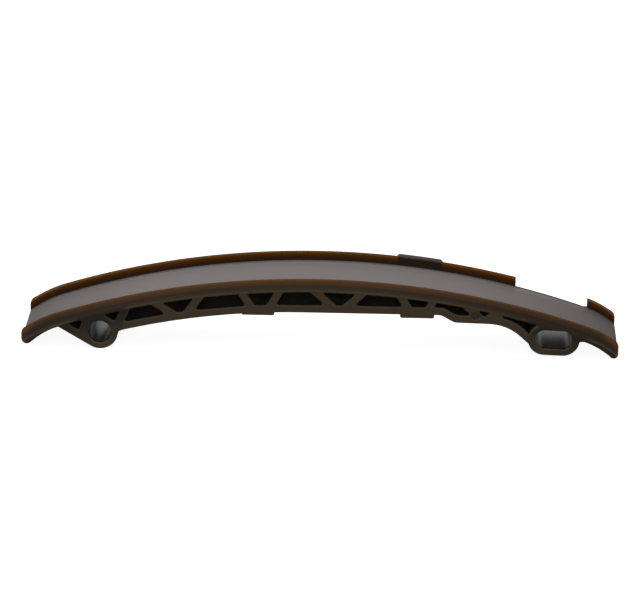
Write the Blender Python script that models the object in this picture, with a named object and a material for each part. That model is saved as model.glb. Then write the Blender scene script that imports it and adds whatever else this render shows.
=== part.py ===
"""Timing chain guide: one polyamide moulding, a curved channel rail stiffened by a pocketed truss,
with a round mounting boss near its left end and a slotted one near its right end.

X runs along the guide, Y is its depth (the bolt holes run along Y) and Z is up. It stands on the
round boss and the right tip. Profiles are drawn in the XZ plane about the crown of the rail
(x = 0) and the axis of the round bolt hole (z = 0), and moved to the origin at the end.
"""

import math

import bmesh
import bpy
from mathutils import Vector

MM = 0.001

# Running channel
RAIL_WIDTH = 32.0 * MM
RUN_RADIUS = 323.4 * MM
FLANGE_HEIGHT = 3.85 * MM
FLANGE_THICKNESS = 1.4 * MM
FLANGE_FOOT_RADIUS = 0.5 * MM
BAND_FLOOR = 1.2 * MM

# Rail ends, where the chain enters and leaves. Each reaches past its boss, falls away from the
# arc of the rail, above and below, and ends in a nose with a rounded tip that hangs below the
# end of the running face. The right tip is level with the round boss.
LEFT_OVERHANG = 30.9 * MM
RIGHT_OVERHANG = 25.3 * MM
LEAD_IN_DROP = 2.3 * MM
LEFT_LEAD_IN = 14.1 * MM
RIGHT_LEAD_IN = 10.7 * MM
LEFT_FLOOR = 1.9 * MM
RIGHT_FLOOR = 2.55 * MM
LEFT_UNDERCUT = 14.1 * MM
RIGHT_UNDERCUT = 13.1 * MM
LEFT_UNDERCUT_DROP = 4.8 * MM
RIGHT_UNDERCUT_DROP = 3.55 * MM
NOSE_TOP_RADIUS = 3.3 * MM
LEFT_TIP_RADIUS = 2.0 * MM
RIGHT_TIP_RADIUS = 1.75 * MM
LEFT_NOSE_DEPTH = 1.7 * MM
RIGHT_NOSE_DEPTH = 2.04 * MM

# Gap in the rear flange, and the thickened lug on it
GAP_FROM_TIP = 11.2 * MM
GAP_LENGTH = 28.6 * MM
GAP_STEP = 0.05 * MM
GAP_FOOT = 1.4 * MM
GAP_FOOT_RISE = 0.5 * MM
LUG_START = 31.1 * MM
LUG_END = 49.2 * MM
LUG_PROUD = 1.8 * MM
LUG_TAPER = 0.8 * MM
LUG_DEPTH = 5.0 * MM
LUG_RISE = 0.1 * MM
LUG_STEPS = 4

# Mounting bosses, each a depth below the running face above it. The round hole is centred
# at z = 0.
HOLE_FROM_CROWN = 84.5 * MM
HOLE_DEPTH = 8.57 * MM
HOLE_DIAMETER = 9.0 * MM
HOLE_WALL = 2.55 * MM
BOSS_WEB_REACH = 16.3 * MM
BOSS_FOOT_RADIUS = 0.6 * MM
BOSS_FOOT_REACH = 8.3 * MM
BOSS_FOOT_LAP = 0.08 * MM
BOSS_FOOT_TURN = 14
RING_STEPS = 18
ROOF_PAST = 4
BOSS_EDGE_BEND = 5.6 * MM
FORM_OVERLAP = 1.0 * MM
SLOT_FROM_CROWN = 92.8 * MM
SLOT_DEPTH = 5.85 * MM
SLOT_WIDTH = 7.6 * MM
SLOT_TRAVEL = 7.1 * MM
SLOT_TILT = math.radians(-1.8)
SLOT_WALL = 2.75 * MM
SLOT_WEB_DROP = 0.68 * MM
SLOT_WEB_LENGTH = 2.0 * MM
SLOT_WEB_TURN = 12
SLOT_WEB_WAY = Vector((0.3, 1))
SLOT_RING_STEPS = (5, 16, 12)
RIM_RADIUS = 0.55 * MM

# Truss under the channel. Places along it are shares of the way from the crown to the hole on
# the left and to the slot on the right.
TRUSS_RECESS = 0.3 * MM
RECESS_MARGIN = 0.5 * MM
TRUSS_DEPTH = 10.15 * MM
CHORD_THICKNESS = 3.15 * MM
CHORD_RADIUS = 287.0 * MM
CHORD_TANGENT = -0.0592
CHORD_STEP = 0.5259
CHORD_STEP_LENGTH = 5.1 * MM
STEP_RISE = 1.52 * MM
CHORD_STEP_RADIUS = 5.0 * MM
BEND_FROM_SLOT = 18.1 * MM
BEND_DEPTH = 4.9 * MM
CHORD_BEND_RADIUS = 21.0 * MM
CHORD_TAIL_SLOPE = 0.94
CHORD_START_LAP = 0.5 * MM
CHORD_END_LAP = 3.6 * MM
CHORD_STEPS = 14
STRUT_THICKNESS = 3.1 * MM
STRUT_FEET = [-0.9148, -0.6651, -0.5882, -0.3018, -0.2071, 0.0636,
              0.1336, 0.3836, 0.4774, 0.6789, 0.7371]
STRUT_HEADS = [-0.8805, -0.7361, -0.5396, -0.3385, -0.1704, 0.0011,
               0.1907, 0.3599, 0.4892, 0.6455, 0.7532]
TAIL_FOOT = 0.764
TAIL_HEAD = 0.7565
TAIL_RING_GAP = 2.84
TAIL_RING_TOP = 122
TAIL_RING_WAY = Vector((0.2, 1))
RING_FACE_TURN = 4
RING_SIDE_TURN = 3
TAIL_LEAN = Vector((-0.35, 1))

# Pockets, blind from both faces down to the middle web
WEB_THICKNESS = 2.5 * MM
POCKET_ROOF = 1.65 * MM
POCKET_CORNER_RADIUS = 0.8 * MM
POCKET_DRAFT = math.radians(0.7)
POCKET_MOUTH_RADIUS = 0.25 * MM
BOSS_POCKET_WALL = 3.1 * MM
LEFT_RING_WALL = 3.4 * MM
LEFT_RING_WAY = Vector((0.32, 0.95)).normalized()
RIGHT_RING_WALL = 2.4 * MM
RIGHT_RING_WAY = Vector((0.866, -0.5)).normalized()

# Pads under the chord
PAD_STARTS = [-0.3408, 0.3534]
PAD_LENGTHS = [12.6 * MM, 13.3 * MM]
PAD_DEPTH = 1.45 * MM
PAD_CORNER_RADIUS = 0.9 * MM

# Ejector mark beside the second pad
EJECTOR_PLACE = 0.6681
EJECTOR_BELOW_RUN = 4.07 * MM
EJECTOR_DIAMETER = 3.5 * MM
EJECTOR_DEPTH = 0.25 * MM

EDGE_RADIUS = 0.4 * MM
EDGE_STEPS = 2
ARC_TOLERANCE = 0.02 * MM
STATION = 4.8 * MM
END_STATION = 2.4 * MM
PAST = 3.0 * MM

PLASTIC_COLOUR = (0.030, 0.021, 0.015)

FRONT = -RAIL_WIDTH / 2
REAR = RAIL_WIDTH / 2
TRUSS_FRONT = FRONT + TRUSS_RECESS
TRUSS_REAR = REAR - TRUSS_RECESS
LEFT_REACH = HOLE_FROM_CROWN + LEFT_OVERHANG
RIGHT_REACH = SLOT_FROM_CROWN + RIGHT_OVERHANG
GAP_END = RIGHT_REACH - GAP_FROM_TIP
GAP_START = GAP_END - GAP_LENGTH
RUN_CENTRE_Z = HOLE_DEPTH - math.sqrt(RUN_RADIUS ** 2 - HOLE_FROM_CROWN ** 2)
RUN_CROWN_HEIGHT = RUN_CENTRE_Z + RUN_RADIUS
SLOT_HEIGHT = RUN_CENTRE_Z + math.sqrt(RUN_RADIUS ** 2 - SLOT_FROM_CROWN ** 2) - SLOT_DEPTH
CHORD_HEIGHT = RUN_CROWN_HEIGHT - TRUSS_DEPTH
BOSS_WEB_START = HOLE_FROM_CROWN + BOSS_WEB_REACH
BOSS_RADIUS = HOLE_DIAMETER / 2 + HOLE_WALL
SLOT_BOSS_RADIUS = SLOT_WIDTH / 2 + SLOT_WALL
HOLE = Vector((-HOLE_FROM_CROWN, 0))
SLOT = Vector((SLOT_FROM_CROWN, SLOT_HEIGHT))
SLOT_AXIS = Vector((math.cos(SLOT_TILT), math.sin(SLOT_TILT)))
SLOT_LEFT = SLOT - SLOT_AXIS * SLOT_TRAVEL / 2
SLOT_RIGHT = SLOT + SLOT_AXIS * SLOT_TRAVEL / 2


def clear_scene():
    for obj in list(bpy.data.objects):
        bpy.data.objects.remove(obj, do_unlink=True)


# Plane geometry

def arc(centre, radius, start, end, steps):
    """Points on a circle from one angle to another, in degrees."""
    angles = [math.radians(start + (end - start) * i / steps) for i in range(steps + 1)]
    return [centre + Vector((math.cos(a), math.sin(a))) * radius for a in angles]


def bearing(centre, point):
    """Angle in degrees from a centre to a point."""
    return math.degrees(math.atan2(point.y - centre.y, point.x - centre.x))


def arc_steps(radius, sweep):
    """How many chords an arc needs to stay within the tolerance."""
    return max(2, math.ceil(sweep / (2 * math.acos(1 - min(ARC_TOLERANCE / radius, 0.2)))))


def fillet(before, corner, after, radius):
    """The arc that rounds one corner, no larger than its two sides allow."""
    into = (before - corner).normalized()
    out = (after - corner).normalized()
    half = into.angle(out) / 2
    if radius <= 0 or half > math.radians(89):
        return [corner]
    room = 0.48 * min((before - corner).length, (after - corner).length)
    reach = min(radius / math.tan(half), room)
    steps = arc_steps(reach * math.tan(half), math.pi - 2 * half)
    start, end = corner + into * reach, corner + out * reach
    centre = corner + (into + out).normalized() * reach / math.cos(half)
    sweep = (start - centre).angle_signed(end - centre)
    points = []
    for i in range(steps + 1):
        turn = -sweep * i / steps
        spoke = start - centre
        cos, sin = math.cos(turn), math.sin(turn)
        points.append(centre + Vector((spoke.x * cos - spoke.y * sin, spoke.x * sin + spoke.y * cos)))
    return points


def rounded(corners, radii):
    """A closed outline with each corner rounded by its own radius."""
    outline = []
    for i, corner in enumerate(corners):
        outline += fillet(corners[i - 1], corner, corners[(i + 1) % len(corners)], radii[i])
    return outline


def rounded_path(corners, radii):
    """An open path with its inner corners rounded."""
    path = [corners[0]]
    for i in range(1, len(corners) - 1):
        path += fillet(corners[i - 1], corners[i], corners[i + 1], radii[i])
    return path + [corners[-1]]


def signed_area(outline):
    return sum(a.cross(b) for a, b in zip(outline, outline[1:] + outline[:1])) / 2


def inset(outline, distance):
    """The outline with every side moved inwards by a distance, or outwards if it is negative."""
    inward = 1 if signed_area(outline) > 0 else -1
    moved = []
    for i, point in enumerate(outline):
        one = (point - outline[i - 1]).normalized()
        two = (outline[(i + 1) % len(outline)] - point).normalized()
        normal = Vector((-one.y - two.y, one.x + two.x)) * inward
        normal.normalize()
        lean = max(0.35, normal.dot(Vector((-one.y, one.x)) * inward))
        moved.append(point + normal * distance / lean)
    return moved


def square_to(way):
    """A direction turned a quarter to the left."""
    return Vector((-way.y, way.x))


def line_cross(p, p_way, q, q_way):
    """Where two lines meet."""
    along = (q - p).cross(q_way) / p_way.cross(q_way)
    return p + p_way * along


def ring_bearing(path, centre, radius):
    """The bearing from the centre of a ring to the first place where a path crosses it."""
    sides = [(point - centre).length - radius for point in path]
    first = next(i for i in range(len(path) - 1) if sides[i] * sides[i + 1] <= 0)
    way = (path[first + 1] - path[first]).normalized()
    spoke = path[first] - centre
    half = math.sqrt(radius ** 2 - spoke.cross(way) ** 2)
    return bearing(centre, path[first] - way * (spoke.dot(way) + math.copysign(half, sides[first])))


def clear_of(points, *ends):
    """The points of a path that lie further than the edge rounding from where others join it."""
    return [point for point in points if all((point - end).length > EDGE_RADIUS for end in ends)]


def path_cross(path, point, way):
    """Where a line meets a path that runs from left to right, and the path's next point there."""
    sides = [way.cross(vertex - point) for vertex in path]
    for i in range(len(path) - 1):
        if sides[i] * sides[i + 1] <= 0 and sides[i] != sides[i + 1]:
            share = sides[i] / (sides[i] - sides[i + 1])
            return path[i].lerp(path[i + 1], share), i + 1
    return (path[0], 0) if abs(sides[0]) < abs(sides[-1]) else (path[-1], len(path) - 1)


# Curves that shape the part

def arc_point(x, radius):
    """The point at a level distance x from the crown on a circle about the centre of the rail."""
    return Vector((x, RUN_CENTRE_Z + math.sqrt(radius * radius - x * x)))


def below_run(x, depth):
    """The point straight below the running face's arc at a level distance x from the crown."""
    return arc_point(x, RUN_RADIUS) - Vector((0, depth))


def fall(x, reach, length, drop):
    """How far an end has fallen away at x, where it falls by drop over its last length."""
    into = max(0.0, abs(x) - (reach - length)) / length
    return drop * into ** 2


def rail_point(x, offset):
    """The point at a level distance x from the crown, offset above the running face."""
    end = (LEFT_REACH, LEFT_LEAD_IN) if x < 0 else (RIGHT_REACH, RIGHT_LEAD_IN)
    return arc_point(x, RUN_RADIUS + offset - fall(x, *end, LEAD_IN_DROP))


def under_point(x):
    """The point at a level distance x from the crown on the underside of a rail end."""
    if x < 0:
        low = LEFT_FLOOR + fall(x, LEFT_REACH, LEFT_UNDERCUT, LEFT_UNDERCUT_DROP)
    else:
        low = RIGHT_FLOOR + fall(x, RIGHT_REACH, RIGHT_UNDERCUT, RIGHT_UNDERCUT_DROP)
    return arc_point(x, RUN_RADIUS - low)


def stations(start, end):
    """Distances from the crown, closer together where the rail ends fall away."""
    places = [start]
    while places[-1] < end:
        x = places[-1]
        near = x < -LEFT_REACH + LEFT_LEAD_IN or x > RIGHT_REACH - RIGHT_UNDERCUT - STATION
        places.append(x + (END_STATION if near else STATION))
    share = (end - start) / (places[-1] - start)
    return [start + (x - start) * share for x in places]


def along(share):
    """The level distance from the crown of a place given as a share of the way to a boss."""
    return share * (HOLE_FROM_CROWN if share < 0 else SLOT_FROM_CROWN)


def rail_path(start, end, offset):
    """Points along the rail from left to right, concentric with the running face."""
    return [rail_point(x, offset) for x in stations(start, end)]


def chord_line(lift):
    """The underside of the bottom chord from the round boss to the slotted one, lifted by a
    distance: an arc, a level run, a step down and a bend towards the slotted boss."""
    tangent, step = along(CHORD_TANGENT), along(CHORD_STEP)
    bend = below_run(SLOT_FROM_CROWN - BEND_FROM_SLOT, BEND_DEPTH)
    tail = bend + Vector((1, -CHORD_TAIL_SLOPE)) * (SLOT_LEFT.x - CHORD_END_LAP - bend.x)
    corners = [
        Vector((tangent, CHORD_HEIGHT)),
        Vector((step, CHORD_HEIGHT)),
        below_run(step + CHORD_STEP_LENGTH, TRUSS_DEPTH - STEP_RISE),
        bend,
        tail,
    ]
    path = lifted_path(corners, lift)
    radii = [0, CHORD_STEP_RADIUS - lift, CHORD_STEP_RADIUS + lift, CHORD_BEND_RADIUS - lift, 0]
    centre = Vector((tangent, CHORD_HEIGHT - CHORD_RADIUS))
    sweep = math.degrees(math.asin((HOLE_FROM_CROWN - CHORD_START_LAP + tangent) / CHORD_RADIUS))
    lead = arc(centre, CHORD_RADIUS + lift, 90 + sweep, 90, CHORD_STEPS)
    return lead[:-1] + rounded_path(path, [max(0.0, r) for r in radii])


def lifted_path(corners, lift):
    """An open path of straight runs moved up square to each run."""
    moved = []
    for i, corner in enumerate(corners):
        one = (corner - corners[max(i - 1, 0)]).normalized()
        two = (corners[min(i + 1, len(corners) - 1)] - corner).normalized()
        one = one if i else two
        two = two if i < len(corners) - 1 else one
        normal = Vector((-one.y - two.y, one.x + two.x)).normalized()
        moved.append(corner + normal * lift / normal.dot(Vector((-one.y, one.x))))
    return moved


# Outlines

def rail_outline():
    """The rail seen from the front, with its noses. Between the bosses it is only the band that
    stands proud of the truss."""
    top = rail_path(-LEFT_REACH + NOSE_TOP_RADIUS, RIGHT_REACH - NOSE_TOP_RADIUS, FLANGE_HEIGHT)
    left_foot, right_foot = nose_feet()
    left_tip = left_foot + Vector((LEFT_TIP_RADIUS, LEFT_TIP_RADIUS))
    right_tip = right_foot + Vector((-RIGHT_TIP_RADIUS, RIGHT_TIP_RADIUS))
    left_end = -LEFT_REACH + 2 * LEFT_TIP_RADIUS
    right_end = RIGHT_REACH - 2 * RIGHT_TIP_RADIUS
    under = [under_point(x) for x in stations(left_end, -HOLE_FROM_CROWN)]
    band = rail_path(-HOLE_FROM_CROWN, SLOT_FROM_CROWN, -BAND_FLOOR)
    under_right = [under_point(x) for x in stations(SLOT_FROM_CROWN, right_end)]
    left_nose = tip(left_tip, LEFT_TIP_RADIUS, under[0], -1)
    right_nose = tip(right_tip, RIGHT_TIP_RADIUS, under_right[-1], 1)
    corners = [top_corner(top[0], top[1], -LEFT_REACH), top_corner(top[-1], top[-2], RIGHT_REACH)]
    left_top = fillet(left_nose[-1], corners[0], top[0], NOSE_TOP_RADIUS)
    right_top = fillet(top[-1], corners[1], right_nose[-1], NOSE_TOP_RADIUS)
    upper = left_top + top + right_top
    return upper + right_nose[::-1] + (under + band + under_right)[::-1] + left_nose


def nose_feet():
    """The lower outer corners of the left nose and the right nose, before their tips are rounded."""
    left = rail_point(-LEFT_REACH, 0) - Vector((0, LEFT_NOSE_DEPTH))
    right = rail_point(RIGHT_REACH, 0) - Vector((0, RIGHT_NOSE_DEPTH))
    return left, right


def tip(centre, radius, start, way):
    """The rounded tip of a nose, from the underside point that its tangent leaves to its end."""
    lean = math.degrees(math.asin(radius / (start - centre).length))
    touch = bearing(centre, start) + way * (90 - lean)
    end = 0 if way > 0 else -180
    count = arc_steps(radius, math.radians(abs(end - touch)))
    return arc(centre, radius, touch, end, count)


def top_corner(outer, inner, x):
    """Where the tangent at the outermost of the top points reaches the end face."""
    return line_cross(outer, outer - inner, Vector((x, 0)), Vector((0, 1)))


def boss_outline():
    """The round boss with the web that runs from it up to the rail on the left. On the right it
    ends just short of the first pocket of the truss."""
    corner = under_point(-BOSS_WEB_START)
    lean = math.degrees(math.asin(BOSS_RADIUS / (HOLE - corner).length))
    touch = bearing(corner, HOLE) - lean - 90
    lap = chord_line(-BOSS_FOOT_LAP)
    ring = arc(HOLE, BOSS_RADIUS, touch, ring_bearing(lap, HOLE, BOSS_RADIUS) - BOSS_FOOT_TURN, RING_STEPS)
    foot, _ = path_cross(lap, Vector((BOSS_FOOT_REACH - HOLE_FROM_CROWN, 0)), Vector((0, 1)))
    junction, _ = path_cross(lap, ring[-1], ring[-1] - ring[-2])
    edge = strut_side(0, 1, -RECESS_MARGIN)
    bend = line_cross(*edge, Vector((0, BOSS_EDGE_BEND)), Vector((1, 0)))
    top = rail_path(-BOSS_WEB_START, -HOLE_FROM_CROWN + ROOF_PAST * STATION, FORM_OVERLAP)
    head, last = path_cross(top, *edge)
    corner_arc = fillet(ring[-1], junction, foot, BOSS_FOOT_RADIUS)
    return [corner] + ring + corner_arc + [foot, bend, head] + clear_of(top[:last], head)[::-1]


def strut_side(index, side, grow):
    """A point and a direction on one side of a strut: side is 1 for its right, -1 for its left."""
    return slant_side(along(STRUT_FEET[index]), along(STRUT_HEADS[index]), side, grow)


def slant_side(foot_x, head_x, side, grow):
    foot = Vector((foot_x, chord_height(foot_x)))
    head = rail_point(head_x, -POCKET_ROOF)
    way = (head - foot).normalized()
    across = Vector((way.y, -way.x))
    return foot + across * side * (STRUT_THICKNESS / 2 + grow), way


def chord_height(x):
    """The height of the chord's upper face."""
    point, _ = path_cross(chord_line(CHORD_THICKNESS), Vector((x, 0)), Vector((0, 1)))
    return point.y


def ring_foot():
    """The bearing from the slot's left end to where the last pocket leaves the ring round it, just
    above the place where the chord's upper face runs into the ring."""
    return ring_bearing(chord_line(CHORD_THICKNESS), SLOT_LEFT, SLOT_BOSS_RADIUS) % 360 - TAIL_RING_GAP


def slot_boss_outline():
    """The slotted boss, carried up into the rail. Beside the last pocket its face ends a margin
    inside the ring, and on the right a short web joins it to the rail."""
    tilt, foot = math.degrees(SLOT_TILT), ring_foot()
    beside = arc(SLOT_LEFT, SLOT_BOSS_RADIUS - RECESS_MARGIN, TAIL_RING_TOP - RING_FACE_TURN, foot, SLOT_RING_STEPS[0])
    left = arc(SLOT_LEFT, SLOT_BOSS_RADIUS, foot + RING_SIDE_TURN, tilt + 270, SLOT_RING_STEPS[1])
    right = arc(SLOT_RIGHT, SLOT_BOSS_RADIUS, tilt - 90, tilt - SLOT_WEB_TURN, SLOT_RING_STEPS[2])
    junction = Vector((SLOT_RIGHT.x + SLOT_BOSS_RADIUS, SLOT_HEIGHT - SLOT_WEB_DROP))
    web = junction + Vector((SLOT_WEB_LENGTH, 0))
    corner = fillet(right[-1], junction, web, BOSS_FOOT_RADIUS)
    roof = rail_path(SLOT_LEFT.x - 2 * STATION, SLOT_RIGHT.x + ROOF_PAST * STATION, FORM_OVERLAP)
    end, last = path_cross(roof, web, SLOT_WEB_WAY)
    start, first = path_cross(roof, beside[0], TAIL_RING_WAY)
    return beside + left + right + corner + [web, end] + clear_of(roof[first:last], start, end)[::-1] + [start]


def truss_outline():
    """The truss before its pockets are cut: from inside the rail down to the chord's underside
    and the pads on it."""
    underside = chord_line(0)
    for start, length in zip(PAD_STARTS, PAD_LENGTHS):
        underside = with_pad(underside, along(start), along(start) + length)
    top = rail_path(-HOLE_FROM_CROWN, SLOT_FROM_CROWN, FORM_OVERLAP)
    return underside + [SLOT_LEFT] + top[::-1]


def with_pad(path, start, end):
    """The underside with a pad let into it from start to end. Its sides are never lower than the
    rounding of its edges."""
    left, first = path_cross(path, Vector((start, 0)), Vector((0, 1)))
    right, last = path_cross(path, Vector((end, 0)), Vector((0, 1)))
    low = min(CHORD_HEIGHT - PAD_DEPTH, left.y - EDGE_RADIUS, right.y - EDGE_RADIUS)
    pad = rounded_path([left, Vector((start, low)), Vector((end, low)), right], [0, *[PAD_CORNER_RADIUS] * 2])
    return clear_of(path[:first], left) + pad + clear_of(path[last:], right)


def between_struts(index, shrink):
    """The pocket right of a strut: under the rail, over the chord and between two struts."""
    roof = rail_path(-HOLE_FROM_CROWN, SLOT_FROM_CROWN, -POCKET_ROOF - shrink)
    floor = chord_line(CHORD_THICKNESS + shrink)
    left, right = strut_side(index, 1, shrink), strut_side(index + 1, -1, shrink)
    top_left, after = path_cross(roof, *left)
    top_right, _ = path_cross(roof, *right)
    foot_left, first = path_cross(floor, *left)
    foot_right, last = path_cross(floor, *right)
    sharp, blunt = POCKET_CORNER_RADIUS / 2 - shrink / 2, POCKET_CORNER_RADIUS
    if foot_left.x >= foot_right.x:
        return rounded([line_cross(*left, *right), top_right, top_left], [blunt * 1.3, sharp, sharp])
    step = along(CHORD_STEP)
    over_step = foot_left.x < step + CHORD_STEP_LENGTH and foot_right.x > step
    run = floor[first:last] if over_step else []
    outline = [foot_left] + run + [foot_right, top_right, top_left]
    return rounded(outline, [blunt] + [0] * len(run) + [blunt, sharp, sharp])


def tail_pocket(shrink):
    """The last pocket: it tapers down between the chord and the ring round the slot."""
    roof = rail_path(-HOLE_FROM_CROWN, SLOT_FROM_CROWN, -POCKET_ROOF - shrink)
    floor = chord_line(CHORD_THICKNESS + shrink)
    left = slant_side(along(TAIL_FOOT), along(TAIL_HEAD), 1, shrink)
    top_left, _ = path_cross(roof, *left)
    foot_left, first = path_cross(floor, *left)
    ring = arc(SLOT_LEFT, SLOT_BOSS_RADIUS + shrink, ring_foot(), TAIL_RING_TOP, SLOT_RING_STEPS[0])
    low, last = path_cross(floor, ring[0], TAIL_LEAN)
    top_right, _ = path_cross(roof, ring[-1], TAIL_RING_WAY)
    corners = [foot_left] + floor[first:last] + [low] + ring + [top_right, top_left]
    small = POCKET_CORNER_RADIUS / 2 - shrink / 2
    radii = [small] + [0] * (last - first) + [small] + [0] * len(ring) + [POCKET_CORNER_RADIUS, small]
    return rounded(corners, radii)


def left_boss_pocket(shrink):
    """The three-sided pocket between the rail, the boss web and the ring round the hole."""
    corner = under_point(-BOSS_WEB_START)
    slope = math.radians(bearing(corner, HOLE)) - math.asin(BOSS_RADIUS / (HOLE - corner).length)
    slant = Vector((math.cos(slope), math.sin(slope)))
    web = corner + square_to(slant) * (BOSS_POCKET_WALL + shrink)
    ring = HOLE + square_to(LEFT_RING_WAY) * (HOLE_DIAMETER / 2 + LEFT_RING_WALL + shrink)
    roof = rail_path(-HOLE_FROM_CROWN - 3 * STATION, -HOLE_FROM_CROWN + STATION, -POCKET_ROOF - shrink)
    left, _ = path_cross(roof, web, slant)
    right, _ = path_cross(roof, ring, LEFT_RING_WAY)
    corners = [left, line_cross(web, slant, ring, LEFT_RING_WAY), right]
    return rounded(corners, [POCKET_CORNER_RADIUS * share for share in (0.5, 0.7, 0.7)])


def right_boss_pocket(shrink):
    """The three-sided pocket between the rail, the ring round the hole and the first strut."""
    ring = HOLE + square_to(RIGHT_RING_WAY) * (HOLE_DIAMETER / 2 + RIGHT_RING_WALL + shrink)
    roof = rail_path(-HOLE_FROM_CROWN, -HOLE_FROM_CROWN + 6 * STATION, -POCKET_ROOF - shrink)
    strut = strut_side(0, -1, shrink)
    left, _ = path_cross(roof, ring, RIGHT_RING_WAY)
    right, _ = path_cross(roof, *strut)
    corners = [left, line_cross(ring, RIGHT_RING_WAY, *strut), right]
    return rounded(corners, [POCKET_CORNER_RADIUS * 0.7] * 3)


# Solids

def loft(name, rings):
    """A closed solid through rings of equally many points, with flat ends."""
    mesh = bpy.data.meshes.new(name)
    bm = bmesh.new()
    loops = [[bm.verts.new(point) for point in ring] for ring in rings]
    for one, two in zip(loops, loops[1:]):
        for i in range(len(one)):
            bm.faces.new((one[i - 1], one[i], two[i], two[i - 1]))
    bm.faces.new(loops[0])
    bm.faces.new(loops[-1][::-1])
    bmesh.ops.recalc_face_normals(bm, faces=bm.faces)
    bm.to_mesh(mesh)
    bm.free()
    mesh.shade_smooth()
    mesh.set_sharp_from_angle(angle=math.radians(30))
    obj = bpy.data.objects.new(name, mesh)
    bpy.context.scene.collection.objects.link(obj)
    return obj


def at_depth(outline, y):
    return [Vector((point.x, y, point.y)) for point in outline]


def plate(name, outline, front, rear, edge):
    """A plate of a given outline with its front and rear edges rounded."""
    rings = []
    for step in range(EDGE_STEPS + 1):
        turn = math.pi / 2 * step / EDGE_STEPS
        depth, pull = edge * (1 - math.sin(turn)), edge * (1 - math.cos(turn))
        rings.append((pull, depth))
    front_rings = [at_depth(inset(outline, pull), front + depth) for pull, depth in rings[::-1]]
    rear_rings = [at_depth(inset(outline, pull), rear - depth) for pull, depth in rings]
    return loft(name, front_rings + rear_rings)


def cutter(name, rings):
    tool = loft(name, rings)
    tool.hide_render = True
    tool.display_type = "WIRE"
    return tool


def combine(body, tool, operation):
    """Adds a Boolean of a tool, which is then a hidden guide."""
    tool.hide_render = True
    tool.display_type = "WIRE"
    modifier = body.modifiers.new(f"{operation.title()} {tool.name}", "BOOLEAN")
    modifier.operation = operation
    modifier.solver = "EXACT"
    modifier.object = tool


def channel_cutter():
    """What the chain runs in: a section with rounded feet swept along the running face."""
    half = RAIL_WIDTH / 2 - FLANGE_THICKNESS
    foot, lip = FLANGE_FOOT_RADIUS, EDGE_RADIUS * 0.8
    section = [Vector((-half - lip - PAST, FLANGE_HEIGHT + PAST)), Vector((-half, FLANGE_HEIGHT - lip))]
    section += arc(Vector((-half + foot, foot)), foot, 180, 270, 3)
    section += [Vector((-point.x, point.y)) for point in section[::-1]]
    rings = []
    for x in stations(-LEFT_REACH - PAST, RIGHT_REACH + PAST):
        base = rail_point(x, 0)
        up = (rail_point(x, 1 * MM) - base).normalized()
        rings.append([Vector((base.x + up.x * p.y, p.x, base.y + up.y * p.y)) for p in section])
    return cutter("channel_cutter", rings)


def gap_cutter():
    """The length of rear flange that is left out, down to the running face. A low wedge stays at
    the foot of the flange's right part."""
    low = rail_path(GAP_START - PAST, GAP_END + PAST, -GAP_STEP)
    ends = [Vector((GAP_START, 0)), Vector((GAP_END, 0))]
    left, first = path_cross(low, ends[0], Vector((0, 1)))
    wedge, last = path_cross(low, ends[1] - Vector((GAP_FOOT, 0)), Vector((0, 1)))
    right, _ = path_cross(low, ends[1], Vector((0, 1)))
    foot = right + Vector((0, GAP_FOOT_RISE))
    top = RUN_CROWN_HEIGHT + FLANGE_HEIGHT
    outline = [left] + low[first:last] + [wedge, foot, Vector((GAP_END, top)), Vector((GAP_START, top))]
    return cutter("gap_cutter", [at_depth(outline, y) for y in (REAR - FLANGE_THICKNESS * 1.02, REAR + PAST)])


def lug():
    """The thickened length of the rear flange."""
    rings = []
    for y, taper in ((REAR - FLANGE_THICKNESS / 2, 0), (REAR, 0), (REAR + LUG_PROUD, LUG_TAPER)):
        start, end = LUG_START + taper, LUG_END - taper
        along = [start + (end - start) * i / LUG_STEPS for i in range(LUG_STEPS + 1)]
        top = [rail_point(x, FLANGE_HEIGHT + LUG_RISE) for x in along]
        low = [rail_point(x, FLANGE_HEIGHT - LUG_DEPTH) for x in along]
        rings.append(at_depth(top + low[::-1], y))
    return loft("lug_form", rings)


def pocket_cutter(name, outline_of, face, side):
    """A pocket from one face down to the web, drafted, with a rounded mouth."""
    floor = WEB_THICKNESS / 2
    depth = face - floor
    tighten = math.tan(POCKET_DRAFT)
    mouth = POCKET_MOUTH_RADIUS
    rings = [(face + PAST, -mouth), (face, -mouth), (face - mouth, 0.0), (floor, depth * tighten)]
    base = outline_of(0)
    return cutter(name, [at_depth(inset(base, shrink), side * y) for y, shrink in rings])


def bore_cutter(name, centre, travel, radius):
    """A round hole, or a slot where it has travel, with rounded rims at both faces."""
    tilt = math.degrees(SLOT_TILT)
    reach = SLOT_AXIS * travel / 2
    profile = []
    for step in range(EDGE_STEPS + 2):
        turn = math.pi / 2 * step / (EDGE_STEPS + 1)
        profile.append((RAIL_WIDTH / 2 - RIM_RADIUS * (1 - math.cos(turn)), RIM_RADIUS * (1 - math.sin(turn))))
    profile = [(RAIL_WIDTH / 2 + PAST, RIM_RADIUS)] + profile
    rings = [(-y, flare) for y, flare in profile] + [(y, flare) for y, flare in profile[::-1]]
    loops = []
    for y, flare in rings:
        left = arc(centre - reach, radius + flare, tilt + 90, tilt + 270, 18)
        right = arc(centre + reach, radius + flare, tilt - 90, tilt + 90, 18)
        outline = left + right if travel else left + right[1:-1]
        loops.append(at_depth(outline, y))
    return cutter(name, loops)


def ejector_cutter():
    centre = rail_point(along(EJECTOR_PLACE), -EJECTOR_BELOW_RUN)
    outline = arc(centre, EJECTOR_DIAMETER / 2, 0, 345, 23)
    return cutter("ejector_cutter", [at_depth(outline, y) for y in (FRONT - PAST, TRUSS_FRONT + EJECTOR_DEPTH)])


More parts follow.
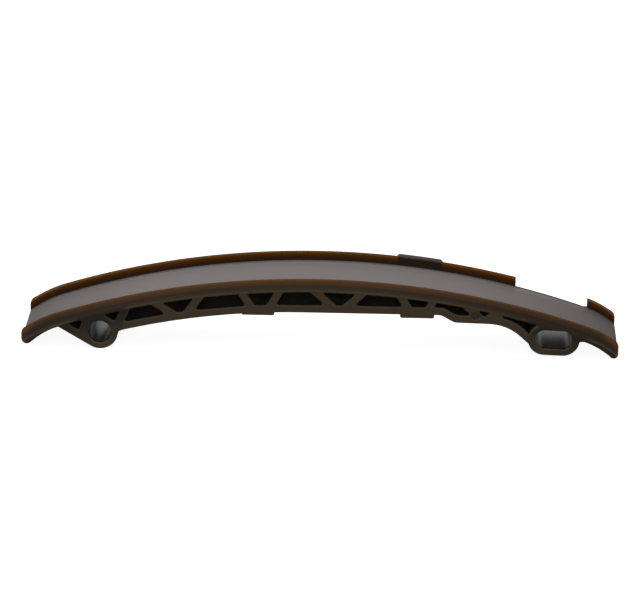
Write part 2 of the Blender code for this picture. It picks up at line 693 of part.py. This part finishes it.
def plastic():
    material = bpy.data.materials.new("moulded_polyamide")
    material.use_nodes = True
    shader = material.node_tree.nodes["Principled BSDF"]
    shader.inputs["Base Color"].default_value = (*PLASTIC_COLOUR, 1)
    shader.inputs["Roughness"].default_value = 0.38
    shader.inputs["Metallic"].default_value = 0.0
    shader.inputs["IOR"].default_value = 1.53
    return material


def build_guide():
    guide = plate("guide_rail", rail_outline(), FRONT, REAR, EDGE_RADIUS)
    guide.data.materials.append(plastic())
    combine(guide, plate("boss_form", boss_outline(), FRONT, REAR, EDGE_RADIUS), "UNION")
    combine(guide, plate("slot_boss_form", slot_boss_outline(), FRONT, REAR, EDGE_RADIUS), "UNION")
    combine(guide, plate("truss_form", truss_outline(), TRUSS_FRONT, TRUSS_REAR, EDGE_RADIUS), "UNION")
    combine(guide, lug(), "UNION")
    combine(guide, channel_cutter(), "DIFFERENCE")
    combine(guide, gap_cutter(), "DIFFERENCE")
    outlines = [left_boss_pocket, right_boss_pocket, tail_pocket]
    outlines += [lambda shrink, i=i: between_struts(i, shrink) for i in range(len(STRUT_FEET) - 1)]
    for number, outline_of in enumerate(outlines):
        face = REAR if number < 2 else TRUSS_REAR
        for side, word in ((-1, "front"), (1, "rear")):
            tool = pocket_cutter(f"pocket_{word}_{number}", outline_of, face, side)
            combine(guide, tool, "DIFFERENCE")
    combine(guide, bore_cutter("hole_cutter", HOLE, 0, HOLE_DIAMETER / 2), "DIFFERENCE")
    combine(guide, bore_cutter("slot_cutter", SLOT, SLOT_TRAVEL, SLOT_WIDTH / 2), "DIFFERENCE")
    combine(guide, ejector_cutter(), "DIFFERENCE")
    return guide


def move_to_origin():
    """Puts the origin at the bottom centre of the part's box."""
    lowest = min(-BOSS_RADIUS, *(foot.y for foot in nose_feet()))
    shift = Vector(((LEFT_REACH - RIGHT_REACH) / 2, -LUG_PROUD / 2, -lowest))
    for obj in bpy.data.objects:
        obj.location += shift


clear_scene()
build_guide()
move_to_origin()
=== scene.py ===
import math

import bmesh
import bpy
from mathutils import Matrix, Vector
from mathutils.bvhtree import BVHTree


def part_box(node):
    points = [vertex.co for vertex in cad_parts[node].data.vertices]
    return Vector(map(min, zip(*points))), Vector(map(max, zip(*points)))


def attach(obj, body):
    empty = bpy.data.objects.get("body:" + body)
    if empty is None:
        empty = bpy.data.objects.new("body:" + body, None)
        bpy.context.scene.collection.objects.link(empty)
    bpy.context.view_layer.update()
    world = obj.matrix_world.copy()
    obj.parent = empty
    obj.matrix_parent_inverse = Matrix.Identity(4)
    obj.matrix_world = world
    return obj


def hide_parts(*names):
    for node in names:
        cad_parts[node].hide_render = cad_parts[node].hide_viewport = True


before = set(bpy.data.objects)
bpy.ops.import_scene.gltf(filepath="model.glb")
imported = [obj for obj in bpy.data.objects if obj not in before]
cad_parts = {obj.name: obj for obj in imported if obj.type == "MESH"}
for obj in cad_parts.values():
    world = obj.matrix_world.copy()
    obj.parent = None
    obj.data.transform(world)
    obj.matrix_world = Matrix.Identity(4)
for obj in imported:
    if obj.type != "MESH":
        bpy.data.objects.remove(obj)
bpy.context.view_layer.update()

# The guide is one injection moulding in dark brown polyamide. Only its pockets have a draft, and the
# edges that the tool forms are rounded. The mesh is the CAD solid, cut finely enough to carry the
# light that comes through the thin walls.
MM = 0.001
SLICE_X, SLICE_Z = 2.0 * MM, 0.8 * MM
SLICES_Y = (-14.4 * MM, -8 * MM, 0.0, 7 * MM, 12.6 * MM)
WELD, CUT_SNAP, SLIVER = MM / 1000, MM / 10000, MM / 500
SAME_PLANE = math.radians(0.2)


def spaced(low, high, step):
    """The middles of equal stretches from low to high, each about one step long."""
    count = int((high - low) / step)
    return [low + (high - low) * (i + 0.5) / count for i in range(count)]


def fine_solid(name):
    """The solid of a CAD node as one welded bmesh, sliced into short faces."""
    solid = bmesh.new()
    solid.from_mesh(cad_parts[name].data)
    bmesh.ops.remove_doubles(solid, verts=solid.verts, dist=WELD)
    bmesh.ops.dissolve_limit(solid, angle_limit=SAME_PLANE, verts=solid.verts, edges=solid.edges)
    low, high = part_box(name)
    cuts = [(0, x) for x in spaced(low[0], high[0], SLICE_X)]
    cuts += [(2, z) for z in spaced(low[2], high[2], SLICE_Z)]
    cuts += [(1, y) for y in SLICES_Y]
    for axis, place in cuts:
        point, normal = [0, 0, 0], [0, 0, 0]
        point[axis], normal[axis] = place, 1
        geometry = solid.verts[:] + solid.edges[:] + solid.faces[:]
        bmesh.ops.bisect_plane(solid, geom=geometry, dist=CUT_SNAP, plane_co=point, plane_no=normal)
    bmesh.ops.triangulate(solid, faces=solid.faces[:])
    bmesh.ops.dissolve_degenerate(solid, dist=SLIVER, edges=solid.edges[:])
    bmesh.ops.triangulate(solid, faces=solid.faces[:])
    solid.normal_update()
    return solid


# Light that comes through the plastic. Dyed polyamide lets some light pass where it is thin: red
# goes furthest and blue hardly at all, so the flanges and the outer edges glow amber while thick
# places stay nearly black. Each point looks into the plastic along a fan of rays.
REACH = (1.3 * MM, 0.85 * MM, 0.35 * MM)
FROM_ABOVE, FROM_BELOW, FROM_ASIDE = 1.0, 0.45, 0.12
RAYS = 48
PAST_SURFACE = 0.02 * MM


def fan(count):
    """Directions spread over the hemisphere about +Z, closer together near its pole."""
    golden_angle = math.pi * (3 - math.sqrt(5))
    rays = []
    for i in range(count):
        turn, lean = i * golden_angle, math.sqrt((i + 0.5) / count)
        rays.append(Vector((lean * math.cos(turn), lean * math.sin(turn), math.sqrt(1 - lean * lean))))
    return rays


def light_through(solid):
    """For each vertex, the share of outside light that reaches it through the plastic."""
    tree = BVHTree.FromBMesh(solid)
    rays = fan(RAYS)
    shares = []
    for vert in solid.verts:
        inwards = (-vert.normal).to_track_quat("Z", "Y")
        start = vert.co - vert.normal * PAST_SURFACE
        total = Vector((0, 0, 0))
        for ray in rays:
            way = inwards @ ray
            exit_point, _, _, depth = tree.ray_cast(start, way)
            if exit_point is None:
                continue
            if tree.ray_cast(exit_point + way * PAST_SURFACE, way)[0] is not None:
                continue
            lit = FROM_ASIDE + FROM_ABOVE * max(0.0, way.z) + FROM_BELOW * max(0.0, -way.z)
            total += Vector([math.exp(-depth / reach) for reach in REACH]) * lit
        shares.append(total / len(rays))
    return shares


# The guide's mesh keeps three things for its finishes: the light that comes through, the height
# above the running face, and what is shut in a pocket. The running face is an arc that falls away
# at both ends, so that the chain meets it softly.
RUN_RADIUS = 323.4 * MM
RUN_CENTRE = Vector((-1.35 * MM, 0, 26.8545 * MM - RUN_RADIUS))
LEFT_REACH, LEFT_LEAD_IN = 115.4 * MM, 14.1 * MM
RIGHT_REACH, RIGHT_LEAD_IN = 118.1 * MM, 10.7 * MM
LEAD_IN_DROP = 2.3 * MM
CLEAR_OF_SURFACE = 0.05 * MM
SMOOTH_ANGLE = math.radians(50)


def above_run(point):
    """How high a point lies above the running face."""
    x = point.x - RUN_CENTRE.x
    reach, length = (LEFT_REACH, LEFT_LEAD_IN) if x < 0 else (RIGHT_REACH, RIGHT_LEAD_IN)
    fall = LEAD_IN_DROP * (max(0.0, abs(x) - reach + length) / length) ** 2
    return math.hypot(x, point.z - RUN_CENTRE.z) - RUN_RADIUS + fall


def walled_in(solid):
    """For each vertex, 1 where the plastic shuts it in above and below, as in a pocket."""
    tree = BVHTree.FromBMesh(solid)
    up, down = Vector((0, 0, 1)), Vector((0, 0, -1))
    shut = []
    for vert in solid.verts:
        start = vert.co + vert.normal * CLEAR_OF_SURFACE
        shut.append(float(all(tree.ray_cast(start, way)[0] is not None for way in (down, up))))
    return shut


guide_solid = fine_solid("guide_rail")
guide_light = light_through(guide_solid)
guide_heights = [above_run(vert.co) for vert in guide_solid.verts]
guide_pockets = walled_in(guide_solid)
guide_mesh = bpy.data.meshes.new("chain_guide")
guide_solid.to_mesh(guide_mesh)
guide_solid.free()
glow = guide_mesh.attributes.new("light_through", "FLOAT_COLOR", "POINT")
for item, share in zip(glow.data, guide_light):
    item.color = (*share, 1.0)
for name, values in (("above_run", guide_heights), ("in_pocket", guide_pockets)):
    attribute = guide_mesh.attributes.new(name, "FLOAT", "POINT")
    for item, value in zip(attribute.data, values):
        item.value = value
guide_mesh.shade_smooth()
guide_mesh.set_sharp_from_angle(angle=SMOOTH_ANGLE)
guide = bpy.data.objects.new("chain_guide", guide_mesh)
bpy.context.scene.collection.objects.link(guide)
weighted = guide.modifiers.new("Even shading", "WEIGHTED_NORMAL")
weighted.keep_sharp = True

# Dyed polyamide 66 from a finely spark-eroded tool: a dull semi-gloss brown, with a grain that is felt
# more than seen. The real grain is about 0.1 mm wide; it is drawn at 0.5 mm to show at this distance.
GRAIN = 0.5 * MM
GRAIN_DEPTH = 0.02 * MM
ROUGHNESS_SPREAD = 0.05
POLYAMIDE_IOR = 1.53


def linear(hex_colour):
    """An sRGB hex colour as linear red, green, blue and alpha."""
    parts = [int(hex_colour[i:i + 2], 16) / 255 for i in (1, 3, 5)]
    return (*[c / 12.92 if c <= 0.04045 else ((c + 0.055) / 1.055) ** 2.4 for c in parts], 1.0)


def add(tree, kind, settings=None, output=0):
    """Adds a node and returns one output. A setting is a property, or an input's value or link."""
    node = tree.nodes.new(kind)
    for name, value in (settings or {}).items():
        if isinstance(value, bpy.types.NodeSocket):
            tree.links.new(value, node.inputs[name])
        elif isinstance(name, str) and hasattr(node, name):
            setattr(node, name, value)
        else:
            node.inputs[name].default_value = value
    return node.outputs[output]


def shaded_along(tree, length, stops):
    """A colour that changes along a length, from stops in millimetres and sRGB hex."""
    low, high = stops[0][0], stops[-1][0]
    share = add(tree, "ShaderNodeMapRange", {"Value": length, "From Min": low * MM, "From Max": high * MM})
    colour = add(tree, "ShaderNodeValToRGB", {0: share})
    elements = colour.node.color_ramp.elements
    for i, (place, hex_colour) in enumerate(stops):
        at = (place - low) / (high - low)
        stop = elements[i] if i < 2 else elements.new(at)
        stop.position, stop.color = at, linear(hex_colour)
    return colour


def within(tree, *limits):
    """1 where each length lies between its two limits in millimetres, with soft ends."""
    share = 1.0
    for length, low, high, soft in limits:
        for near, far in ((low, low + soft), (high, high - soft)):
            edge = add(tree, "ShaderNodeMapRange", {"Value": length, "From Min": near * MM,
                                                    "From Max": far * MM})
            share = add(tree, "ShaderNodeMath", {"operation": "MULTIPLY", 0: share, 1: edge})
    return share


def layered(tree, colour, *layers):
    """A colour with others laid over it, each by its own share and way of mixing."""
    # In a Mix node, inputs 6 and 7 and output 2 are the ones for colours.
    for way, share, over in layers:
        colour = add(tree, "ShaderNodeMix", {"data_type": "RGBA", "blend_type": way, 0: share,
                                             6: colour, 7: over}, 2)
    return colour


def polyamide(name, roughness, gloss, ior=POLYAMIDE_IOR, relief=0.25):
    """A finish of the guide, with its grain in bump and roughness. Its colour is still to be set."""
    material = bpy.data.materials.new(name)
    material.use_nodes = True
    tree = material.node_tree
    place = add(tree, "ShaderNodeTexCoord", output="Object")
    grain = add(tree, "ShaderNodeTexNoise", {"Vector": place, "Scale": 1 / GRAIN, "Detail": 3.0})
    low, high = roughness - ROUGHNESS_SPREAD, roughness + ROUGHNESS_SPREAD
    rough = add(tree, "ShaderNodeMapRange", {"Value": grain, "To Min": low, "To Max": high})
    bump = add(tree, "ShaderNodeBump", {"Strength": relief, "Distance": GRAIN_DEPTH, "Height": grain})
    shader = tree.nodes["Principled BSDF"]
    tree.links.new(rough, shader.inputs["Roughness"])
    tree.links.new(bump, shader.inputs["Normal"])
    shader.inputs["IOR"].default_value = ior
    shader.inputs["Specular IOR Level"].default_value = gloss
    guide_mesh.materials.append(material)
    return tree, shader.inputs["Base Color"], place


# The eroded faces are everything but the channel and the bores. Their places are in millimetres:
# along the guide, above the running face, or out from the middle of its width to the two sides.
RAIL_MIDDLE = -0.9 * MM
NO_LIMIT = 99
tree, base_colour, place = polyamide("moulded_polyamide", roughness=0.42, gloss=0.25)
axes = add(tree, "ShaderNodeSeparateXYZ", {0: place}).node.outputs
rise = add(tree, "ShaderNodeAttribute", {"attribute_name": "above_run"}, "Fac")
from_middle = add(tree, "ShaderNodeMath", {"operation": "SUBTRACT", 0: axes["Y"], 1: RAIL_MIDDLE})
from_middle = add(tree, "ShaderNodeMath", {"operation": "ABSOLUTE", 0: from_middle})
walled = add(tree, "ShaderNodeAttribute", {"attribute_name": "in_pocket"}, "Fac")

# The proud faces of the bosses and noses, 16.0 mm out, get lighter downwards in painted light. The
# truss between them is recessed to 15.7 mm and has one brown.
PROUD_PAINTED_LIGHT = ((-14, "#5c5040"), (-10.5, "#4c4132"), (-7.5, "#483e32"), (-5, "#3a332a"), (-3, "#352f26"))
TRUSS_COLOUR, TRUSS_OUT_TO = "#534634", 15.9
proud_painted_light = shaded_along(tree, rise, PROUD_PAINTED_LIGHT)
on_truss = within(tree, (from_middle, -NO_LIMIT, TRUSS_OUT_TO, 0.18))

# The outer face of each flange is a band, coloured with painted light: browner towards its thin top as
# light comes through, a painted highlight line along its lower edge, painted shade dimming it towards
# its ends, and darker just above the two bosses.
BAND_PAINTED_LIGHT_COLOURS = ((-1.6, "#534634"), (-1.1, "#6a6458"), (-0.6, "#5a4d3b"), (0.1, "#4e3f2d"),
                (1.3, "#48392e"), (2.1, "#61462b"), (3.35, "#66492f"))
BAND_ENDS_PAINTED_SHADE = ((-112, "#dfdfdf"), (-76, "#ffffff"), (30, "#ffffff"), (93, "#dadada"))
BAND_OUT_FROM, BAND_UP_FROM = 15.4, -1.5
BY_BOSSES, BY_BOSS_TOP, BY_BOSS_COLOUR = ((-97, -74), (80, 106)), 0.2, "#3a332c"
band_limits = ((from_middle, BAND_OUT_FROM, NO_LIMIT, 0.5), (rise, BAND_UP_FROM, NO_LIMIT, 0.3))
in_band = within(tree, *band_limits)
band = shaded_along(tree, rise, BAND_PAINTED_LIGHT_COLOURS)
band = layered(tree, band, ("MULTIPLY", 1.0, shaded_along(tree, axes["X"], BAND_ENDS_PAINTED_SHADE)))
for left, right in BY_BOSSES:
    by_boss = within(tree, (axes["X"], left, right, 3), (rise, -NO_LIMIT, BY_BOSS_TOP, 0.7))
    band = layered(tree, band, ("MIX", by_boss, linear(BY_BOSS_COLOUR)))

# The ejector mark is sunk a little below the truss. The pockets' colour is painted shade and light:
# nearly black at the mouth, and paler inwards, where little light falls, so they look greyer deep inside.
MARK_OUT_FROM, MARK_OUT_TO, MARK_COLOUR = 15.35, 15.65, "#3d3b34"
POCKET_OUT_TO = 15.3
POCKET_PAINTED_SHADE_COLOURS = ((1.2, "#766f64"), (9.0, "#534e47"), (14.0, "#25221e"), (15.3, "#161411"))
at_mark = within(tree, (from_middle, MARK_OUT_FROM, MARK_OUT_TO, 0.1))
at_mark = add(tree, "ShaderNodeMath", {"operation": "MULTIPLY", 0: at_mark, 1: walled})
in_pocket = within(tree, (from_middle, -NO_LIMIT, POCKET_OUT_TO, 0.4))
in_pocket = add(tree, "ShaderNodeMath", {"operation": "MULTIPLY", 0: in_pocket, 1: walled})
pocket_painted_shade = shaded_along(tree, from_middle, POCKET_PAINTED_SHADE_COLOURS)

# The amber of thin edges, the light that comes through, is painted into the base colour where it is
# more than faint. The band's own colours hold it already, but for the tips of the rail.
BLACK = (0, 0, 0, 1)
FAINT_LIGHT = (0.045, 0.025, 0.008, 1)
AMBER_TINT = (1.2, 0.5, 0.06, 1)
TIPS_FROM = 113
glow = add(tree, "ShaderNodeAttribute", {"attribute_name": "light_through"}, "Color")
glow = layered(tree, glow, ("SUBTRACT", 1.0, FAINT_LIGHT), ("LIGHTEN", 1.0, BLACK),
               ("MULTIPLY", 1.0, AMBER_TINT))
no_glow = within(tree, (axes["X"], -TIPS_FROM, TIPS_FROM, 3), *band_limits)
no_glow = add(tree, "ShaderNodeMath", {"operation": "MAXIMUM", 0: no_glow, 1: in_pocket})
glow = layered(tree, glow, ("MIX", no_glow, BLACK))
colour = layered(tree, proud_painted_light, ("MIX", on_truss, linear(TRUSS_COLOUR)), ("MIX", in_band, band),
                 ("MIX", at_mark, linear(MARK_COLOUR)), ("MIX", in_pocket, pocket_painted_shade), ("ADD", 1.0, glow))
tree.links.new(colour, base_colour)

# The chain rubs the running face dull, and its faint streaks are much longer than wide. Its greyer
# colour is a painted sheen, darkest at its right end in painted shade and lighter beside the rear
# flange in painted light.
RUNNING_FACE_PAINTED_LIGHT = ((-117, "#524e4c"), (-66, "#635e5c"), (30, "#625d5b"), (59, "#605b59"), (90, "#554f4d"),
                  (118, "#464240"))
STREAK_WIDTH, STREAK_STRETCH, STREAK_CONTRAST = 1.2 * MM, 50, 0.07
LIGHTER_FROM, LIGHTER_TO, LIGHTER_BY = 10.0 * MM, 13.4 * MM, 1.3
tree, base_colour, place = polyamide("running_face_polyamide", roughness=0.6, gloss=0.2)
axes = add(tree, "ShaderNodeSeparateXYZ", {0: place}).node.outputs
run_painted_light = shaded_along(tree, axes["X"], RUNNING_FACE_PAINTED_LIGHT)
stretched = add(tree, "ShaderNodeMath", {"operation": "DIVIDE", 0: axes["X"], 1: STREAK_STRETCH})
stretched = add(tree, "ShaderNodeCombineXYZ", {"X": stretched, "Y": axes["Y"]})
streaks = add(tree, "ShaderNodeTexNoise", {"Vector": stretched, "Scale": 1 / STREAK_WIDTH, "Detail": 2.0})
streaks = add(tree, "ShaderNodeMapRange", {"Value": streaks, "To Min": 1 - STREAK_CONTRAST,
                                           "To Max": 1 + STREAK_CONTRAST})
painted_light_by_rear_flange = add(tree, "ShaderNodeMapRange", {"Value": axes["Y"], "From Min": LIGHTER_FROM,
                                                  "From Max": LIGHTER_TO, "To Min": 1.0,
                                                  "To Max": LIGHTER_BY})
shade = add(tree, "ShaderNodeMath", {"operation": "MULTIPLY", 0: streaks, 1: painted_light_by_rear_flange})
colour = add(tree, "ShaderNodeVectorMath", {"operation": "SCALE", 0: run_painted_light, "Scale": shade})
tree.links.new(colour, base_colour)

# The bores are formed by polished core pins, so they are the smoothest faces of the guide. Their
# brown is written dark, because light that bounces between their walls lifts it.
base_colour = polyamide("core_pin_polyamide", roughness=0.24, gloss=0.5, ior=1.6, relief=0.05)[1]
base_colour.default_value = linear("#2e2a25")

# The inner faces of the flanges: walls of 1.4 mm that the light behind them turns amber, which is
# drawn as their colour, deeper towards their feet. The lug on the rear one is too thick for light.
AMBER_COLOURS = ((0.4, "#392a24"), (0.9, "#3b291c"), (1.6, "#4c2c12"), (2.15, "#5b330a"), (3.0, "#693f09"),
                 (3.4, "#7a5120"), (3.8, "#442c13"))
LUG_LEFT, LUG_RIGHT, LUG_FRONT, LUG_COLOUR = 29.6, 48.0, 5.0, "#332b25"
tree, base_colour, place = polyamide("see_through_polyamide", roughness=0.5, gloss=0.06)
axes = add(tree, "ShaderNodeSeparateXYZ", {0: place}).node.outputs
rise = add(tree, "ShaderNodeAttribute", {"attribute_name": "above_run"}, "Fac")
amber = shaded_along(tree, rise, AMBER_COLOURS)
on_lug = within(tree, (axes["X"], LUG_LEFT, LUG_RIGHT, 0.6), (axes["Y"], LUG_FRONT, NO_LIMIT, 1))
tree.links.new(layered(tree, amber, ("MIX", on_lug, linear(LUG_COLOUR))), base_colour)

# Each face gets its finish by its place in millimetres. The flanges' inner faces are 14.6 mm out, and
# their tops are 3.85 mm above the run. A bore is given by the ends of its axis along X, its height
# and the reach of its rim.
MOULDED, RUNNING_FACE, CORE_PIN, SEE_THROUGH = range(4)
ON_RUN, RUN_OUT_TO, FACES_UP = 0.2, 14.6, 0.6
OVER_RUN, FLANGE_OUT_TO = 0.05, 14.75
FLANGE_TOP, TOP_FACES_UP = 3.5, 0.2
BORES = ((-85.85, -85.85, 7.05, 4.9), (87.9, 95.0, 7.4, 4.3))
BORE_FACES_OUT = 0.5
for face in guide_mesh.polygons:
    x, _, z = (c / MM for c in face.center)
    height, aside = above_run(face.center) / MM, abs(face.center.y - RAIL_MIDDLE) / MM
    on_flange_top = height > FLANGE_TOP and face.normal.z > TOP_FACES_UP
    face.material_index = MOULDED
    if face.normal.z > FACES_UP and abs(height) < ON_RUN and aside < RUN_OUT_TO:
        face.material_index = RUNNING_FACE
    elif height > OVER_RUN and (aside < FLANGE_OUT_TO or on_flange_top):
        face.material_index = SEE_THROUGH
    for start, end, middle, reach in BORES:
        off_axis = math.hypot(x - min(max(x, start), end), z - middle)
        if off_axis < reach and abs(face.normal.y) < BORE_FACES_OUT:
            face.material_index = CORE_PIN

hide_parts("guide_rail")
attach(guide, "root")

# The studio's floor is pale paper, dark grey to the guide's gloss. To the camera, and through clear
# things, its glow and the light that falls on it make it white, but for the soft shadow. It lies a
# hair below the guide, so that the two share no plane.
FLOOR_REACH, FLOOR_BELOW = 4.0, 0.05 * MM
FLOOR_COLOUR, FLOOR_IN_GLOSS = "#8c8c8c", "#232323"
FLOOR_WHITE = 0.93
floor_mesh = bpy.data.meshes.new("floor")
floor_shape = bmesh.new()
bmesh.ops.create_grid(floor_shape, x_segments=1, y_segments=1, size=FLOOR_REACH)
floor_shape.to_mesh(floor_mesh)
floor_shape.free()
floor = bpy.data.objects.new("floor", floor_mesh)
bpy.context.scene.collection.objects.link(floor)
floor.location.z = -FLOOR_BELOW
paper = bpy.data.materials.new("white_paper")
paper.use_nodes = True
tree = paper.node_tree
shader = tree.nodes["Principled BSDF"]
rays = add(tree, "ShaderNodeLightPath").node.outputs
sheet = layered(tree, linear(FLOOR_COLOUR), ("MIX", rays["Is Glossy Ray"], linear(FLOOR_IN_GLOSS)))
lit = add(tree, "ShaderNodeMath", {"operation": "MAXIMUM", 0: rays["Is Camera Ray"],
                                   1: rays["Is Transmission Ray"]})
lit = add(tree, "ShaderNodeMath", {"operation": "MULTIPLY", 0: lit, 1: FLOOR_WHITE})
shader.inputs["Roughness"].default_value = 0.9
shader.inputs["Emission Color"].default_value = (1, 1, 1, 1)
tree.links.new(sheet, shader.inputs["Base Color"])
tree.links.new(lit, shader.inputs["Emission Strength"])
floor_mesh.materials.append(paper)

# The room is white to the camera, and through clear things. The guide's gloss sees it brighten from
# the horizon up, and it lights the guide at about half of white.
ROOM_WHITE, ROOM_LIGHT, AT_HORIZON = 1.0, 0.55, 0.06
WHITE_FROM = 0.36
world = bpy.data.worlds.new("room")
bpy.context.scene.world = world
world.use_nodes = True
tree = world.node_tree
back = tree.nodes["Background"]
back.inputs["Color"].default_value = (1, 1, 1, 1)
rays = add(tree, "ShaderNodeLightPath").node.outputs
way = add(tree, "ShaderNodeTexCoord", output="Generated")
height = add(tree, "ShaderNodeSeparateXYZ", {0: way}, "Z")
wall = add(tree, "ShaderNodeMapRange", {"Value": height, "From Min": 0.0, "From Max": WHITE_FROM,
                                        "To Min": AT_HORIZON, "To Max": ROOM_WHITE})
level = add(tree, "ShaderNodeMapRange", {"Value": rays["Is Glossy Ray"], "To Min": ROOM_LIGHT,
                                         "To Max": wall})
for seen_by in ("Is Camera Ray", "Is Transmission Ray"):
    level = add(tree, "ShaderNodeMath", {"operation": "MAXIMUM", 0: rays[seen_by], 1: level})
tree.links.new(level, back.inputs["Strength"])

# One large softbox hangs above the guide, a little to the left and behind. It gives the floor its
# soft shadow and the running face its even light.
SOFTBOX_SIDE, SOFTBOX_WATTS = 1.0, 18
SOFTBOX_PLACE = Vector((-0.3, 0.3, 1.4))
softbox = bpy.data.lights.new("top_softbox", "AREA")
softbox.size = SOFTBOX_SIDE
softbox.energy = SOFTBOX_WATTS
lamp = bpy.data.objects.new("top_softbox", softbox)
lamp.location = SOFTBOX_PLACE
lamp.rotation_euler = (-SOFTBOX_PLACE).to_track_quat("-Z", "Y").to_euler()
bpy.context.scene.collection.objects.link(lamp)

# The camera stands in front of the crown and looks down at 22 degrees, through a long lens that
# hardly narrows the guide towards its rear.
CAMERA_PLACE = Vector((37.69, -1158.60, 482.75)) * MM
CAMERA_AIM = Vector((-0.28, 0.0, 14.71)) * MM
CAMERA_ROLL = math.radians(0.437)
CAMERA_LENS, CAMERA_SENSOR = 178.35, 36
CLIP_NEAR, CLIP_FAR = 0.05, 20
lens = bpy.data.cameras.new("camera")
lens.lens = CAMERA_LENS
lens.sensor_width = CAMERA_SENSOR
lens.clip_start, lens.clip_end = CLIP_NEAR, CLIP_FAR
camera = bpy.data.objects.new("camera", lens)
bpy.context.scene.collection.objects.link(camera)
camera.location = CAMERA_PLACE
turn = (CAMERA_AIM - CAMERA_PLACE).to_track_quat("-Z", "Y").to_matrix().to_4x4()
camera.rotation_euler = (turn @ Matrix.Rotation(CAMERA_ROLL, 4, "Z")).to_euler()
bpy.context.scene.camera = camera
bpy.context.scene.view_settings.view_transform = "Standard"
